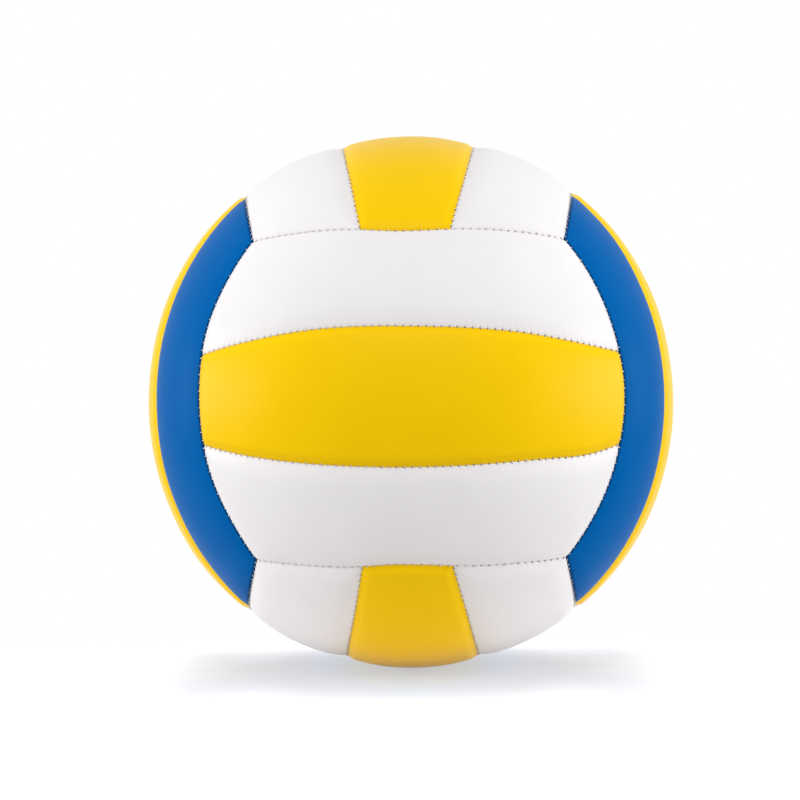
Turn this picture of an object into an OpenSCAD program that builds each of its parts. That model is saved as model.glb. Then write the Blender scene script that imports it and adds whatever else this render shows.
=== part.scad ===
// Volleyball with eighteen sewn panels, in millimetres. The origin is the ball's centre, +Z is up,
// -Y is the front, and the valve is in the middle of the back. The six faces point along the axes.
// Each face has three strips side by side, and the strips of neighbouring faces run crosswise.

/* [Ball] */
// Outside diameter of the inflated ball, over the crowns of its panels
ball_d = 210; // [190:1:230]

/* [Panel layout] */
// Angle at the centre from the middle of a face to the seam across the ends of its strips
face_reach = 51.7; // [50:0.1:53.5]
// Angle at the centre from the middle of a face to each seam between its strips
strip_mid_angle = 14.7; // [12:0.1:17]
// The same angle at the ends of the strips, where the middle strip is narrower
strip_end_angle = 9.5; // [8:0.1:12]

/* [Panel laminate] */
// Thickness of the outer skin
skin_t = 0.8; // [0.5:0.1:1.2]
// Thickness of the foam pad under the skin
foam_t = 2.9; // [2:0.1:4]
// Thickness of the cloth lining under the foam
lining_t = 0.5; // [0.3:0.1:1]
// Clearance between two layers that lie on each other
layer_fit = 0.05; // [0.02:0.01:0.1]

/* [Seams] */
// Depth of a seam below the crowns of its panels
seam_depth = 1.3; // [0.8:0.1:1.8]
// Width of a panel's rolled shoulder, from its turned-in edge to its crown
shoulder_w = 3.4; // [2.6:0.1:5]
// Distance from the turned-in edge to the knee of the shoulder
knee_w = 1.2; // [0.8:0.1:1.6]
// Depth of the knee below the crown
knee_depth = 0.4; // [0.2:0.1:0.6]
// Gap between the turned-in edges of two neighbouring panels
seam_gap = 0.3; // [0.3:0.05:0.6]
// Clearance between a turned-in edge and the foam and lining beside it
edge_fit = 0.15; // [0.1:0.05:0.3]

/* [Seam thread] */
// Diameter of the sewing thread, with its two strands side by side
thread_d = 0.7; // [0.4:0.1:0.8]
// Height of the thread's centre above the foot of the seam
thread_lift = 0.45; // [0.4:0.05:0.6]
// How far each thread stops short of the corner where three seams meet
thread_end_gap = 3; // [2:0.5:6]

/* [Bladder] */
// Thickness of the bladder
bladder_t = 0.7; // [0.5:0.1:1.2]

/* [Valve] */
// Diameter of the valve body's neck, which fills the hole in the panel
neck_d = 9; // [8:0.5:12]
// Length of the valve body from its face to its inner end
body_len = 22; // [18:1:30]
// Depth of the valve's face below the crown of the panel
face_recess = 0.3; // [0.1:0.1:0.6]
// Diameter of the root flange that is vulcanised to the inside of the bladder
root_d = 26; // [20:1:34]
// Thickness of the root flange
root_t = 1.4; // [1:0.1:2]
// Outside diameter of the reinforcing patch between the bladder and the lining
patch_d = 34; // [28:1:40]
// Clearance round the neck where it passes through panel, patch and bladder
neck_fit = 0.2; // [0.1:0.05:0.3]
// Diameter of the core that plugs the valve body
core_d = 5; // [4:0.5:6]
// Length of the core
core_len = 20; // [15:1:24]
// Diameter of the core's head, which sits in the face of the body
head_d = 6.4; // [6:0.2:7.2]
// Thickness of the core's head
head_t = 1.2; // [0.8:0.1:2]
// Clearance between the core and the body
core_fit = 0.02; // [0.01:0.01:0.05]
// Diameter of the channel that the inflating needle goes into
needle_d = 2; // [1.8:0.1:2.4]
// Length of that channel, past which the core is only slit and stays shut
channel_len = 12; // [8:1:14]
// Diameter of the dished lead-in round the channel's mouth
mouth_d = 3.6; // [3:0.2:4.4]
// Depth of that lead-in
mouth_depth = 0.6; // [0.4:0.1:0.8]

/* [Colours] */
// Colour of the two outer strips on the front, back, top and bottom
white_colour = "#F1EEF0";
// Colour of the middle strip on every face
yellow_colour = "#F2BE0A";
// Colour of the two outer strips on the left and right
blue_colour = "#1A68B2";
// Colour of the foam pads
foam_colour = "#E9E4D4";
// Colour of the cloth linings
lining_colour = "#D8D8D2";
// Colour of the seam thread
thread_colour = "#B9B6B4";
// Colour of the bladder
bladder_colour = "#2A2A2C";
// Colour of the valve's body
valve_colour = "#3A3A3C";
// Colour of the valve's core
core_colour = "#1E1E20";

/* [Smoothness] */
// Flat facets along the crown of a panel, an even number
cells_along = 12; // [8:2:20]
// Flat facets across the crown of a panel, an even number
cells_across = 4; // [2:2:8]

/* [Hidden] */
ball_r = ball_d / 2;
degrees_per_radian = 180 / PI;

// The seam across the ends of a face's strips is a circle through two cube corners. Its axis leans
// from the middle of the face by end_tilt, and end_half is the angle from that axis to the circle.
corner = 1 / sqrt(3);
end_tilt = atan((cos(face_reach) - corner) / (sin(face_reach) - corner));
end_half = face_reach + end_tilt;
corner_turn = asin(corner / sin(end_half));

// The seam between two strips is a circle too, with an end on each of the end seams
join_turn = asin(sin(strip_end_angle) / sin(end_half));
join = end_seam(join_turn);
strip_tilt = atan((sin(strip_mid_angle) - join.y) / (cos(strip_mid_angle) - join.z));
strip_half = 90 - strip_mid_angle + strip_tilt;
strip_turn = asin(join.x / sin(strip_half));

// Places across a panel's edge, from the seam inwards, and how far each lies below the crown
edge_places = [seam_gap / 2, seam_gap / 2 + knee_w, seam_gap / 2 + shoulder_w];
edge_depths = [seam_depth, knee_depth, 0];
// Steps from an edge to the even cells, and from one end of a grid to the other
edge_steps = len(edge_places) - 1;
steps_along = cells_along + 2 * edge_steps;
steps_across = cells_across + 2 * edge_steps;
// The skin's inner face follows the outer one, moved in by its thickness
skin_insets = [skin_t, skin_t / 2, 0];

// How far a flat facet dips below the round surface that its corners lie on
cell_along = 2 * face_reach / cells_along;
cell_across = 2 * strip_mid_angle / cells_across;
facet_dip = ball_r * (1 - cos(norm([cell_along, cell_across]) / 2));

// Radii of the layers, from the skin inwards
skin_in_r = ball_r - skin_t;
foam_out_r = skin_in_r - facet_dip - layer_fit;
foam_in_r = foam_out_r - foam_t;
lining_out_r = foam_in_r - layer_fit;
lining_in_r = lining_out_r - lining_t;
bladder_r = lining_in_r - layer_fit;
bladder_in_r = bladder_r - bladder_t;
flange_r = bladder_r + facet_dip + layer_fit;

// Foam and lining stop short of the turned-in edges, and the foam is skived towards them
liner_inset = seam_gap / 2 + skin_t + edge_fit;
skived_inset = seam_gap / 2 + shoulder_w + edge_fit;

// Seam thread
thread_r = ball_r - seam_depth + thread_lift;
thread_end_turn = thread_end_gap / ball_r * degrees_per_radian;

// Valve, along its axis from the ball's centre
face_r = ball_r - face_recess;
body_end_r = face_r - body_len;
core_end_r = face_r - core_len;
head_low_r = face_r - head_t;
root_out_r = bladder_in_r - layer_fit;
patch_in_r = bladder_r + layer_fit;
patch_out_r = lining_out_r - layer_fit;
hole_d = neck_d + 2 * neck_fit;
pocket_d = patch_d + 2 * neck_fit;

// Cutting shapes reach this share of the ball's radius in and out of the layers
low_share = 0.6;
high_share = 1.35;
// Angle by which a seam's cutting shape stands back before it widens
step_back = 25;
fan_steps = 4;
round_fn = 180;
small_fn = 72;

// Each face: its name, the turn that brings +Z of a panel's own frame to the face, and the names
// of its strips at -Y, in the middle and at +Y of that frame
FACES = [
    ["front", [90, 0, 0], ["lower", "middle", "upper"]],
    ["back", [90, 0, 180], ["lower", "middle", "upper"]],
    ["top", [0, 0, 90], ["right", "middle", "left"]],
    ["bottom", [180, 0, 90], ["left", "middle", "right"]],
    ["right", [180, -90, 0], ["back", "middle", "front"]],
    ["left", [0, -90, 0], ["front", "middle", "back"]],
];
LAYERS = ["skin", "foam", "lining"];
SIDES = [-1, 0, 1];
BLUE_FACES = ["left", "right"];
VALVE_FACE = "back";

function panel_name(face, side, layer) = str(face[0], "_", face[2][side + 1], "_", layer);

// A point on the unit ball, along a seam at +Y whose axis leans by tilt, turned from its middle.
// A face's own end seam is the outer seam of the face beside it, seen from there.
function seam(tilt, half, turn) = [
    sin(half) * sin(turn),
    cos(half) * cos(tilt) + sin(half) * cos(turn) * sin(tilt),
    sin(half) * cos(turn) * cos(tilt) - cos(half) * sin(tilt)];
function outer_seam(turn) = seam(end_tilt, end_half, turn);
function strip_seam(turn) = seam(strip_tilt, strip_half, turn);
function end_seam(turn) = let (p = outer_seam(turn)) [p.z, p.x, p.y];

function mix(a, b, t) = a + (b - a) * t;
function unit(v) = v / norm(v);
function flip_x(p) = [-p.x, p.y, p.z];
function flip_y(p) = [p.x, -p.y, p.z];
function spread(a, b) = acos(min(1, unit(a) * unit(b))) / degrees_per_radian * ball_r;

// The four edges of a panel, each from share 0 to 1. The middle strip lies between its face's two
// inner seams, and an outer strip lies between the inner seam at +Y and the face's own edge.
function low_edge(middle, u) =
    let (p = strip_seam(mix(-strip_turn, strip_turn, u)))
    middle ? flip_y(p) : p;
function high_edge(middle, u) =
    middle ? strip_seam(mix(-strip_turn, strip_turn, u))
           : outer_seam(mix(-corner_turn, corner_turn, u));
function far_end(middle, v) =
    end_seam(middle ? mix(-join_turn, join_turn, v) : mix(join_turn, corner_turn, v));
function near_end(middle, v) = flip_x(far_end(middle, v));

// A direction inside the panel, from shares along and across it, blended from its four edges
function panel_point(middle, u, v) = unit(
    mix(low_edge(middle, u), high_edge(middle, u), v)
    + mix(near_end(middle, v), far_end(middle, v), u)
    - mix(mix(near_end(middle, 0), far_end(middle, 0), u),
          mix(near_end(middle, 1), far_end(middle, 1), u), v));

// Shares across a length with edge places at both ends and even cells between them
function edge_shares(length, places, cells) =
    let (inner = places[edge_steps] / length)
    concat(
        [for (p = places) p / length],
        [for (i = [1:cells - 1]) mix(inner, 1 - inner, i / cells)],
        [for (i = [edge_steps:-1:0]) 1 - places[i] / length]);

// Depth below the crown at one step of a grid's steps
function edge_drop(i, steps) = edge_depths[min(i, steps - i, edge_steps)];

// The skin's outer or inner face, as a grid of points
function skin_grid(middle, inset) =
    let (places = edge_places + inset * skin_insets,
         even_v = [for (j = [0:steps_across]) j / steps_across],
         us = [for (v = even_v)
             edge_shares(spread(near_end(middle, v), far_end(middle, v)), places, cells_along)])
    [for (i = [0:steps_along])
        let (u = us[0][i],
             vs = edge_shares(spread(low_edge(middle, u), high_edge(middle, u)), places,
                 cells_across))
        for (j = [0:steps_across])
            (ball_r - inset * skin_t - max(edge_drop(i, steps_along), edge_drop(j, steps_across)))
                * panel_point(middle, us[j][i], vs[j])];

// Indices round the edge of a grid, anticlockwise from outside
function grid_rim(rows, columns) = concat(
    [for (i = [0:rows - 2]) i * columns],
    [for (j = [0:columns - 2]) (rows - 1) * columns + j],
    [for (i = [rows - 1:-1:1]) i * columns + columns - 1],
    [for (j = [columns - 1:-1:1]) j]);

// A strip of faces between two rims of equal length
function band(a, b) = [
    for (i = [0:len(a) - 1])
        let (k = (i + 1) % len(a))
        each [[a[i], a[k], b[k]], [a[i], b[k], b[i]]]];

function reversed(faces) = [for (f = faces) [f[0], f[2], f[1]]];

// The sewn skin of one panel: a crowned tray whose edges turn in along the seams
module skin_tray(middle) {
    rows = steps_along + 1;
    columns = steps_across + 1;
    outer = skin_grid(middle, 0);
    inner = skin_grid(middle, 1);
    count = len(outer);
    rim = grid_rim(rows, columns);
    outer_low = [for (i = rim) flange_r * unit(outer[i])];
    inner_low = [for (i = rim) flange_r * unit(inner[i])];
    inner_rim = [for (i = rim) count + i];
    outer_low_rim = [for (i = [0:len(rim) - 1]) 2 * count + i];
    inner_low_rim = [for (i = outer_low_rim) i + len(rim)];
    sheet = [
        for (i = [0:rows - 2])
            for (j = [0:columns - 2])
                let (a = i * columns + j, b = a + columns)
                each [[a, a + 1, b + 1], [a, b + 1, b]]];
    polyhedron(
        points = concat(outer, inner, outer_low, inner_low),
        faces = concat(
            sheet,
            reversed([for (f = sheet) [for (i = f) i + count]]),
            band(rim, outer_low_rim),
            reversed(band(inner_rim, inner_low_rim)),
            band(outer_low_rim, inner_low_rim)));
}

// Directions across a seam's profile, which lies in a half plane through the seam's axis
function outwards(half) = [sin(half), cos(half)];
function inwards(half) = [-cos(half), sin(half)];

// Everything on the inner side of a seam, with the wall at one inset where it crosses low_r and
// another where it crosses high_r
module inside_seam(half, low_r, low_inset, high_r, high_inset) {
    slope = (high_inset - low_inset) / (high_r - low_r);
    bottom = low_share * ball_r;
    top = high_share * ball_r;
    function wall(r) = r * outwards(half) + (low_inset + slope * (r - low_r)) * inwards(half);
    rotate_extrude($fn = round_fn)
        polygon(concat(
            [[0, 0], wall(bottom), wall(top)],
            [for (i = [fan_steps:-1:0]) top * outwards(i * (half - step_back) / fan_steps)]));
}

// A layer of one panel between two radii, cut along the panel's four seams
module layer(middle, out_r, in_r, in_inset, out_inset) {
    module keep(half) inside_seam(half, in_r, in_inset, out_r, out_inset);
    intersection() {
        rotate([-90, 90, 0])
            difference() {
                sphere(r = out_r, $fn = round_fn);
                sphere(r = in_r, $fn = round_fn);
            }
        rotate([0, end_tilt, 0]) keep(end_half);
        rotate([0, end_tilt, 180]) keep(end_half);
        if (middle) {
            rotate([90 - strip_tilt, 0, 0]) keep(180 - strip_half);
        } else {
            rotate([90 - end_tilt, 0, 0]) keep(180 - end_half);
        }
        if (middle) {
            mirror([0, 1, 0]) rotate([90 - strip_tilt, 0, 0]) keep(180 - strip_half);
        } else {
            rotate([-90 - strip_tilt, 0, 0]) keep(strip_half);
        }
    }
}

// Puts a panel's own frame on its face. The strip at -Y mirrors the one at +Y.
module place(face, side) {
    rotate(face[1])
        mirror([0, side < 0 ? 1 : 0, 0])
            children();
}

// Cuts a round hole for the valve where the panel carries it
module pierced(face, side, d) {
    if (face[0] == VALVE_FACE && side == 0) {
        difference() {
            children();
            cylinder(d = d, h = high_share * ball_r, $fn = small_fn);
        }
    } else {
        children();
    }
}

function is_blue(face) = len([for (name = BLUE_FACES) if (name == face[0]) name]) > 0;

module panel_skin(face, side) {
    outer_colour = is_blue(face) ? blue_colour : white_colour;
    color(side == 0 ? yellow_colour : outer_colour)
        place(face, side)
            pierced(face, side, hole_d)
                skin_tray(side == 0);
}

module panel_foam(face, side) {
    color(foam_colour)
        place(face, side)
            pierced(face, side, hole_d)
                layer(side == 0, foam_out_r, foam_in_r, liner_inset, skived_inset);
}

module panel_lining(face, side) {
    color(lining_colour)
        place(face, side)
            pierced(face, side, pocket_d)
                layer(side == 0, lining_out_r, lining_in_r, liner_inset, liner_inset);
}

// One thread along a seam at +Y of a face, short of both ends
module seam_arc(tilt, half, turn) {
    reach = turn - thread_end_turn;
    rotate([-90 - tilt, 0, 0])
        rotate([0, 0, -90 - reach])
            rotate_extrude(angle = 2 * reach, $fn = round_fn)
                translate(thread_r * outwards(half))
                    circle(d = thread_d, $fn = small_fn);
}

// The threads between the strips, two on each face
module strip_seam_thread() {
    color(thread_colour)
        for (face = FACES)
            rotate(face[1])
                for (turn = [0, 180])
                    rotate([0, 0, turn])
                        seam_arc(strip_tilt, strip_half, strip_turn);
}

// The threads between the faces: each face brings the two along its outer strips
module edge_seam_thread() {
    color(thread_colour)
        for (face = FACES)
            rotate(face[1])
                for (turn = [0, 180])
                    rotate([0, 0, turn])
                        seam_arc(end_tilt, end_half, corner_turn);
}

// Turns the valve's axis, +Z of its own frame, to the back of the ball
module at_back() {
    rotate([-90, 0, 0])
        children();
}

module bladder() {
    color(bladder_colour)
        at_back()
            difference() {
                sphere(r = bladder_r, $fn = round_fn);
                sphere(r = bladder_in_r, $fn = round_fn);
                cylinder(d = hole_d, h = ball_r, $fn = small_fn);
            }
}

// The rubber body: a neck through the panel, and a root flange inside the bladder
module valve_body() {
    color(valve_colour)
        at_back()
            difference() {
                union() {
                    translate([0, 0, body_end_r])
                        cylinder(d = neck_d, h = body_len, $fn = small_fn);
                    intersection() {
                        difference() {
                            sphere(r = root_out_r, $fn = round_fn);
                            sphere(r = root_out_r - root_t, $fn = round_fn);
                        }
                        cylinder(d = root_d, h = ball_r, $fn = small_fn);
                    }
                }
                cylinder(d = core_d + 2 * core_fit, h = ball_r, $fn = small_fn);
                translate([0, 0, head_low_r - core_fit])
                    cylinder(d = head_d + 2 * core_fit, h = ball_r, $fn = small_fn);
            }
}

// The plug that closes on the needle: a headed core with a blind channel and a dished mouth
module valve_core() {
    color(core_colour)
        at_back()
            difference() {
                union() {
                    translate([0, 0, core_end_r])
                        cylinder(d = core_d, h = core_len, $fn = small_fn);
                    translate([0, 0, head_low_r])
                        cylinder(d = head_d, h = head_t, $fn = small_fn);
                }
                translate([0, 0, face_r - channel_len])
                    cylinder(d = needle_d, h = ball_r, $fn = small_fn);
                translate([0, 0, face_r - mouth_depth])
                    cylinder(d1 = needle_d, d2 = mouth_d, h = mouth_depth, $fn = small_fn);
            }
}

// The ring of rubber that keeps the lining off the valve's neck
module valve_patch() {
    color(valve_colour)
        at_back()
            intersection() {
                difference() {
                    sphere(r = patch_out_r, $fn = round_fn);
                    sphere(r = patch_in_r, $fn = round_fn);
                    cylinder(d = hole_d, h = ball_r, $fn = small_fn);
                }
                cylinder(d = patch_d, h = ball_r, $fn = small_fn);
            }
}

for (face = FACES)
    for (side = SIDES) {
        panel_skin(face, side);
        panel_foam(face, side);
        panel_lining(face, side);
    }
strip_seam_thread();
edge_seam_thread();
bladder();
valve_body();
valve_core();
valve_patch();
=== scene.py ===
"""The looks of a volleyball: eighteen sewn panels, their stitches, the layers under them and the valve.

Every piece is built in metres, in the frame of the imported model: the origin is the ball's centre, +Z is
up, -Y is the front and the valve is in the middle of the back.
"""

import math

import bmesh
import bpy
import numpy as np
from bpy.props import FloatProperty, FloatVectorProperty, IntProperty, PointerProperty
from mathutils import Euler, Matrix, Vector


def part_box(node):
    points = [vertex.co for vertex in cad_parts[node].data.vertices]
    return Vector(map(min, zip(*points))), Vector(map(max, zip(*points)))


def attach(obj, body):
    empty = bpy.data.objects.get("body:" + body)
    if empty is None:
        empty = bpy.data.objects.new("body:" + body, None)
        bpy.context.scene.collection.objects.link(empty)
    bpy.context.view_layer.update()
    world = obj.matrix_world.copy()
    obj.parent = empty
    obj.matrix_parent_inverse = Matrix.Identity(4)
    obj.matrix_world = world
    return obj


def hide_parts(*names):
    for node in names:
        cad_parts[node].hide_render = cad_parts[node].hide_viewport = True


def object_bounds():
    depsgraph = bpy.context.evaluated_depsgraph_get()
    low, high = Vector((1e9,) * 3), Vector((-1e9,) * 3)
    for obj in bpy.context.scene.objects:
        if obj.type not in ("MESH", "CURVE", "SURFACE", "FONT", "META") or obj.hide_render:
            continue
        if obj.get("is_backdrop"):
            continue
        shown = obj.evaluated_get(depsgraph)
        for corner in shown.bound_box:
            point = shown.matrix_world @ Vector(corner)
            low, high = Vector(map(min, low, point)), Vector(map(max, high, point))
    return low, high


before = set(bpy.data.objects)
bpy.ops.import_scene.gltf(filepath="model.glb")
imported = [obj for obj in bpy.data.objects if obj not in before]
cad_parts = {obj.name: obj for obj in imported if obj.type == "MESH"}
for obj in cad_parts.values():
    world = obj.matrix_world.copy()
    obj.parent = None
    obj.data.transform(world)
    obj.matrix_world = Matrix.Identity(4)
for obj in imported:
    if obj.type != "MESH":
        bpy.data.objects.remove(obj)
CAD_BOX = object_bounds()

bl_info = {
    "name": "Volleyball",
    "version": (1, 0, 0),
    "blender": (4, 5, 0),
    "location": "3D View > Sidebar > Volleyball",
    "description": "Builds a sewn volleyball, its inner layers and its valve",
    "category": "Object",
}

MM = 0.001
# Less than any real size in metres, and than any share
TINY = 1e-6
BODY = "root"

# Each face: its name, the turn that brings +Z of a panel's own frame to the face, and the names of
# its strips at -Y, in the middle and at +Y of that frame
FACES = (
    ("front", (90, 0, 0), ("lower", "middle", "upper")),
    ("back", (90, 0, 180), ("lower", "middle", "upper")),
    ("top", (0, 0, 90), ("right", "middle", "left")),
    ("bottom", (180, 0, 90), ("left", "middle", "right")),
    ("right", (180, -90, 0), ("back", "middle", "front")),
    ("left", (0, -90, 0), ("front", "middle", "back")),
)
BLUE_FACES = ("left", "right")
SIDES = (-1, 0, 1)
VALVE_PANEL = ("back", 0)
# The middle of a panel, as a share of its length or width
HALF = np.array(0.5)


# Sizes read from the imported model


def crown_radius(node):
    """How far a node of the front reaches from the ball's centre."""
    return -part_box(node)[0].y


FOAM_RADIUS = crown_radius("front_middle_foam")
LINING_RADIUS = crown_radius("front_middle_lining")
BLADDER_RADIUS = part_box("bladder")[1].z
VALVE_BODY_LOW, VALVE_BODY_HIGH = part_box("valve_body")
VALVE_CORE_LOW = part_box("valve_core")[0]
PATCH_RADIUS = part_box("valve_patch")[1].x


# Property makers


def linear(hex_colour):
    """The linear colour of an sRGB hex value."""
    parts = [int(hex_colour[i : i + 2], 16) / 255 for i in (1, 3, 5)]
    return [c / 12.92 if c <= 0.04045 else ((c + 0.055) / 1.055) ** 2.4 for c in parts]


def length(name, description, metres):
    """A size in metres."""
    return FloatProperty(name=name, description=description, default=metres, unit="LENGTH", precision=5)


def angle(name, description, degrees):
    """An angle, whose default is given in degrees."""
    turn = math.radians(degrees)
    return FloatProperty(name=name, description=description, default=turn, subtype="ANGLE")


def number(name, description, value):
    """A plain number, such as a share or a lamp's strength."""
    return FloatProperty(name=name, description=description, default=value)


def count(name, description, value):
    """A whole number."""
    return IntProperty(name=name, description=description, default=value, min=1)


def colour(name, description, hex_colour):
    """A colour, whose default is an sRGB hex value."""
    rgb = linear(hex_colour)
    return FloatVectorProperty(name=name, description=description, default=rgb, subtype="COLOR")


class BallSizes(bpy.types.PropertyGroup):
    """The ball and the seams on it."""

    radius: length("Radius", "Radius over the crowns of the panels", (CAD_BOX[1].x - CAD_BOX[0].x) / 2)
    face_reach: angle("Face reach", "From the middle of a face to the seam across its strips' ends", 51.7)
    strip_middle: angle("Strip at middle", "From the face's middle to the seams between its strips", 14.7)
    strip_end: angle("Strip at end", "The same angle at the ends of the strips", 9.5)
    bulge: length("Bulge", "How far a strip's middle stands above its hems", 0.9 * MM)
    square: number("Squareness", "Share by which the ball's edges stand out more than its faces", 0.022)
    taller: number("Taller", "Share by which the ball is taller than it is wide", 0.01)
    lump: length("Lumps", "How far the padding stands up or down", 0.1 * MM)
    lump_width: length("Lump width", "Distance from one lump to the next", 30 * MM)


class HemSizes(bpy.types.PropertyGroup):
    """The turned-in edge of a panel."""

    middle_width: length("Middle width", "From the seam to a middle strip's crown", 3.3 * MM)
    outer_width: length("Outer width", "From the seam to an outer strip's crown", 7.6 * MM)
    drop: length("Drop", "How far the padding thins towards the seam", 0.95 * MM)
    roll: length("Roll", "Radius of the fold", 0.16 * MM)
    half_gap: length("Half gap", "From the middle of the seam to the skin", 0.006 * MM)
    flange: length("Flange", "Depth of the turned-in edge below the crown", 4.25 * MM)
    skin: length("Skin", "Thickness of the skin", 0.8 * MM)
    corner: length("Corner", "How far from a corner the hem is drawn in", 2.2 * MM)
    corner_pull: length("Corner pull", "How far a corner is drawn in and down", 0.2 * MM)


class StitchSizes(bpy.types.PropertyGroup):
    """The stitches and what they do to the skin."""

    strip_count: count("Strip seam", "Stitches in a seam between two strips", 62)
    middle_count: count("Middle end", "Stitches across the end of a middle strip", 11)
    outer_count: count("Outer end", "Stitches across the end of an outer strip", 16)
    thread: length("Thread", "Diameter of the thread", 0.4 * MM)
    depth: length("Depth", "From the crown down to the thread where it crosses the seam", 1.16 * MM)
    reach: length("Reach", "From the seam to the thread's run inside the hem", 0.9 * MM)
    run_depth: length("Run depth", "Depth of that run below the crown", 2.2 * MM)
    slant: length("Slant", "How far a stitch leans along the seam", 0.3 * MM)
    tension: length("Tension", "How much higher or deeper single stitches lie", 0.12 * MM)
    aside: length("Aside", "How far the thread lies to one side of its holes", 0.26 * MM)
    hole: length("Hole", "Half the width of a needle hole", 0.3 * MM)
    hole_pull: length("Hole pull", "How far a hole opens into the hem", 0.36 * MM)
    hole_drop: length("Hole drop", "How far a hole draws the hem down", 0.2 * MM)
    pucker: length("Pucker", "Height of the puckers between stitches", 0.09 * MM)
    pucker_reach: length("Pucker reach", "How far the puckers run into the panel", 1.1 * MM)


class LayerSizes(bpy.types.PropertyGroup):
    """The foam, the lining and the bladder."""

    fit: length("Fit", "Clearance between two layers", 0.05 * MM)
    edge: length("Edge", "From a seam to the foam and the lining beside it", 1.1 * MM)
    skive: length("Skive", "How far inside a panel's crown the foam's full thickness ends", 0.3 * MM)
    chamfer: length("Chamfer", "Width of the chamfer round the foam's underside", 0.2 * MM)
    lining_rim: length("Lining rim", "Depth of the lining's rounded rim", 0.3 * MM)
    lining: length("Lining", "Thickness of the lining", 0.5 * MM)
    bladder: length("Bladder", "Thickness of the bladder", 0.7 * MM)
    ridge: length("Ridge", "Height of the bladder's mould line", 0.03 * MM)


class ValveSizes(bpy.types.PropertyGroup):
    """The valve in the back."""

    neck: length("Neck", "Radius of the body's neck", 4.5 * MM)
    gap: length("Gap", "Clearance round the neck", 0.2 * MM)
    foam_gap: length("Foam gap", "Clearance between the neck and the foam", 0.9 * MM)
    root: length("Root", "Radius of the flange inside the bladder", 13 * MM)
    root_thickness: length("Root thickness", "Thickness of that flange", 1.4 * MM)
    core: length("Core", "Radius of the core", 2.5 * MM)
    head: length("Head", "Radius of the core's head", 3.2 * MM)
    head_thickness: length("Head thickness", "Thickness of that head", 1.2 * MM)
    channel: length("Channel", "Radius of the needle's channel", 1.0 * MM)
    channel_depth: length("Channel depth", "Depth of that channel", 12 * MM)
    mouth: length("Mouth", "Radius of the dish round the channel", 1.8 * MM)
    mouth_depth: length("Mouth depth", "Depth of that dish", 0.6 * MM)
    core_gap: length("Core gap", "Clearance between the core and the body", 0.02 * MM)
    round: length("Rounding", "Radius of the moulded edges", 0.25 * MM)
    patch_round: length("Patch rounding", "Radius of the patch's edges", 0.1 * MM)


class Finishes(bpy.types.PropertyGroup):
    """The colours of the materials."""

    white: colour("White", "White synthetic leather", "#F1EEF0")
    yellow: colour("Yellow", "Yellow synthetic leather", "#FDCD03")
    blue: colour("Blue", "Blue synthetic leather", "#0260AB")
    foam: colour("Foam", "Foam pads", "#E9E4D4")
    lining: colour("Lining", "Cloth linings", "#D8D8D2")
    thread: colour("Thread", "Sewing thread", "#E4E0DE")
    bladder: colour("Bladder", "Butyl rubber", "#2A2A2C")
    valve: colour("Valve", "Rubber of the valve's body", "#3A3A3C")
    core: colour("Core", "Rubber of the valve's core", "#1E1E20")


class StageSizes(bpy.types.PropertyGroup):
    """The camera, the lamps and the floor."""

    distance: length("Distance", "From the ball's centre to the camera", 1.575)
    lens: number("Lens", "Focal length in millimetres on a 36 millimetre sensor", 175.75)
    pitch: angle("Pitch", "Turn of the ball about the camera's right", -0.93)
    yaw: angle("Yaw", "Turn of the ball about the camera's up", -0.51)
    roll: angle("Roll", "Turn of the ball about the camera's view", -0.66)
    shift_right: number("Shift right", "Picture widths from the picture's middle to the ball's", 0.0136)
    shift_down: number("Shift down", "Picture widths from the picture's middle down to the ball's", 0.0014)
    side_power: number("Side lamps", "Power of each side lamp in watts", 9.5)
    high_power: number("High lamp", "Power of the lamp above the camera in watts", 11.0)
    ambient: number("Ambient", "Strength of the light from all round", 0.53)
    floor_tilt: angle("Floor tilt", "How far the floor leans, since the ball is rolled back on it", 5.7)
    floor_crest: length("Floor crest", "How far behind the ball the floor levels off", 0.085)
    floor_lift: number("Floor lift", "Share of its white that the floor seems to give off itself", 0.495)


class VolleyballSettings(bpy.types.PropertyGroup):
    """Everything that a user would change."""

    ball: PointerProperty(type=BallSizes)
    hem: PointerProperty(type=HemSizes)
    stitch: PointerProperty(type=StitchSizes)
    layer: PointerProperty(type=LayerSizes)
    valve: PointerProperty(type=ValveSizes)
    finish: PointerProperty(type=Finishes)
    stage: PointerProperty(type=StageSizes)


# Seams


def mix(a, b, t):
    """The value at share t between a and b."""
    return a + (b - a) * t


def scaled(points, factors):
    """Each point times its own factor."""
    return points * np.asarray(factors)[..., None]


def unit(points):
    """Points brought to the unit ball."""
    return points / np.linalg.norm(points, axis=-1, keepdims=True)


def arc(tilt, half, turn):
    """A point on the unit ball, along a seam at +Y whose axis leans by tilt, turned from its middle."""
    turn = np.asarray(turn, float)
    across = math.cos(half) * math.cos(tilt) + math.sin(half) * np.cos(turn) * math.sin(tilt)
    out = math.sin(half) * np.cos(turn) * math.cos(tilt) - math.cos(half) * math.sin(tilt)
    return np.stack([math.sin(half) * np.sin(turn), across, out], axis=-1)


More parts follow.
